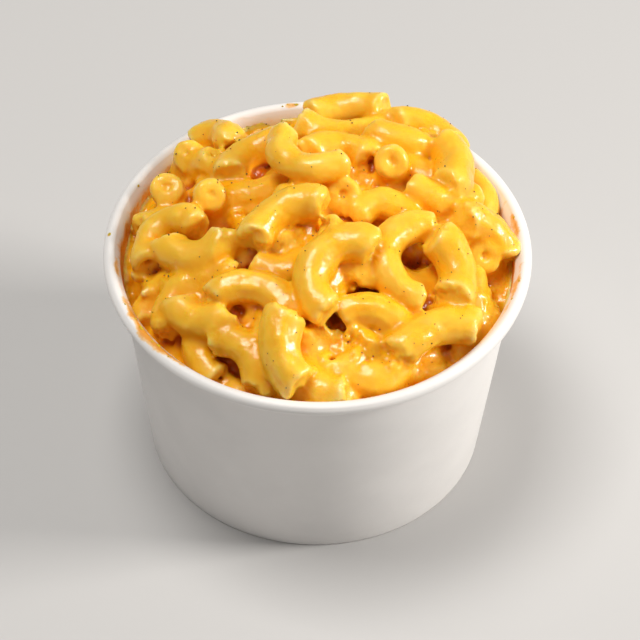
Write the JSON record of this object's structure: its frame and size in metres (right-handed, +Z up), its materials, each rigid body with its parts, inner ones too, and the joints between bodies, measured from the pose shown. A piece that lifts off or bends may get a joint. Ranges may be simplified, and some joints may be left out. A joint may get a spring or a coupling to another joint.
{
  "type": "macaroni and cheese in a paper cup",
  "caption": "Heap of elbow macaroni in thick cheese sauce, domed above the rolled rim of a plain white tapered paper food cup.",
  "frame": {"origin": "centre of the cup's foot, on the surface it stands on", "axes": "+Z up along the cup's axis, -Y towards the side that the reference view shows"},
  "size_m": [0.1, 0.1, 0.0783],
  "materials": {
    "white_paper": "satin coated paper, warm white",
    "bottom_paper": "matt coated paper",
    "cheese_macaroni": "cooked pasta coated in glossy cheese sauce"
  },
  "bodies": {
    "root": {"cup_wall": "white_paper", "cup_bottom": "bottom_paper", "macaroni": "cheese_macaroni"}
  },
  "joints": []
}
